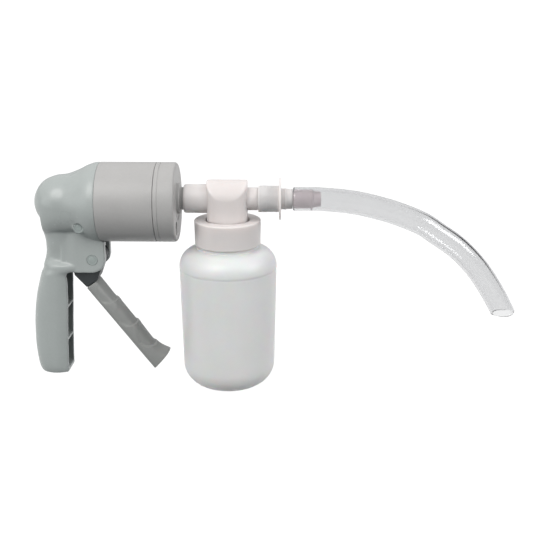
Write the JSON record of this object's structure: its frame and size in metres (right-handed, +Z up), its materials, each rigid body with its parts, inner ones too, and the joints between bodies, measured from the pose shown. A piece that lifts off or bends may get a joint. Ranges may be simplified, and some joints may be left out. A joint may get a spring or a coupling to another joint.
{
  "type": "suction pump",
  "caption": "Hand-held pistol-grip suction pump: a trigger drives a piston, and a tee carries a translucent bottle below and a curved clear suction catheter in front.",
  "frame": {"origin": "centre of the collection bottle's flat base, on the bottle's axis", "axes": "+Z up along the bottle's axis, +X from the pump barrel towards the catheter, Y across the grip"},
  "size_m": [0.3357, 0.0666, 0.1564],
  "materials": {
    "housing": "satin moulded ABS, cool grey",
    "barrel": "satin moulded ABS, neutral grey",
    "trigger": "satin moulded plastic, mid grey",
    "lever": "dark glass-filled nylon",
    "fastener_cap": "grey moulded plugs over the pin and screw heads",
    "steel": "stainless steel",
    "acetal": "natural acetal",
    "black_rubber": "black nitrile rubber",
    "silicone": "red silicone",
    "float": "hollow polypropylene float",
    "white_plastic": "semi-gloss white polypropylene",
    "milky_plastic": "translucent natural polyethylene",
    "clear_tube": "clear soft PVC",
    "reducer": "pinkish-grey polypropylene"
  },
  "bodies": {
    "handle": {"handle_housing": "housing", "housing_screw_left": "fastener_cap", "housing_screw_right": "fastener_cap", "pivot_pin": "fastener_cap", "pivot_pin_cap": "fastener_cap", "barrel": "barrel", "cylinder_liner": "acetal", "cylinder_rear_ring": "acetal", "front_cap": "barrel", "front_cap_o_ring": "black_rubber", "valve_keeper": "acetal", "exhaust_cover": "barrel", "return_spring": "steel"},
    "trigger": {"trigger_lever": "lever", "trigger_grip": "trigger", "pivot_bush": "acetal", "trigger_screw_upper": "steel", "trigger_screw_lower": "steel"},
    "piston": {"piston": "acetal", "piston_seal": "black_rubber", "piston_rod": "acetal", "cross_pin": "steel", "rod_screw": "steel"},
    "inlet_valve": {"inlet_valve_disc": "silicone"},
    "exhaust_valve": {"exhaust_valve_disc": "silicone"},
    "tee": {"tee_adapter": "white_plastic", "bottle_gasket": "silicone", "float_cage": "acetal"},
    "float": {"float_ball": "float"},
    "cap": {"bottle_cap": "white_plastic"},
    "bottle": {"bottle": "milky_plastic"},
    "catheter": {"catheter_connector": "white_plastic", "catheter_reducer": "reducer", "suction_catheter": "clear_tube"}
  },
  "joints": [
    {"name": "trigger_pivot", "type": "hinge", "parent": "handle", "child": "trigger", "pos_m": [-0.0908, 0, 0.0921], "axis": [0, 1, 0], "range_deg": [0, 40], "stiffness_Nm_per_rad": 0.6, "springref_deg": -6.88},
    {"name": "piston_slide", "type": "slide", "parent": "handle", "child": "piston", "axis": [1, 0, 0], "range_m": [0, 0.0274], "deforming": ["return_spring"]},
    {"name": "inlet_valve_lift", "type": "slide", "parent": "handle", "child": "inlet_valve", "axis": [-1, 0, 0], "range_m": [0, 0.0009], "stiffness_N_per_m": 4, "springref_m": -0.0003},
    {"name": "exhaust_valve_lift", "type": "slide", "parent": "handle", "child": "exhaust_valve", "axis": [1, 0, 0], "range_m": [0, 0.0006], "stiffness_N_per_m": 4, "springref_m": -0.0003},
    {"name": "tee_swivel", "type": "hinge", "parent": "handle", "child": "tee", "pos_m": [-0.022, 0, 0.1322], "axis": [1, 0, 0], "continuous": true},
    {"name": "float_lift", "type": "slide", "parent": "tee", "child": "float", "axis": [0, 0, 1], "range_m": [0, 0.006]},
    {"name": "cap_turn", "type": "hinge", "parent": "tee", "child": "cap", "pos_m": [0, 0, 0.109], "axis": [0, 0, 1], "range_deg": [0, 540]},
    {"name": "bottle_thread", "type": "slide", "parent": "tee", "child": "bottle", "axis": [0, 0, -1], "range_m": [0, 0.00601]},
    {"name": "catheter_swivel", "type": "hinge", "parent": "tee", "child": "catheter", "pos_m": [0.027, 0, 0.1322], "axis": [1, 0, 0], "continuous": true}
  ],
  "couplings": [
    {"joint": "piston_slide", "follows": "trigger_pivot", "m_per_rad": 0.039205},
    {"joint": "bottle_thread", "follows": "cap_turn", "m_per_rad": 0.00063662}
  ]
}
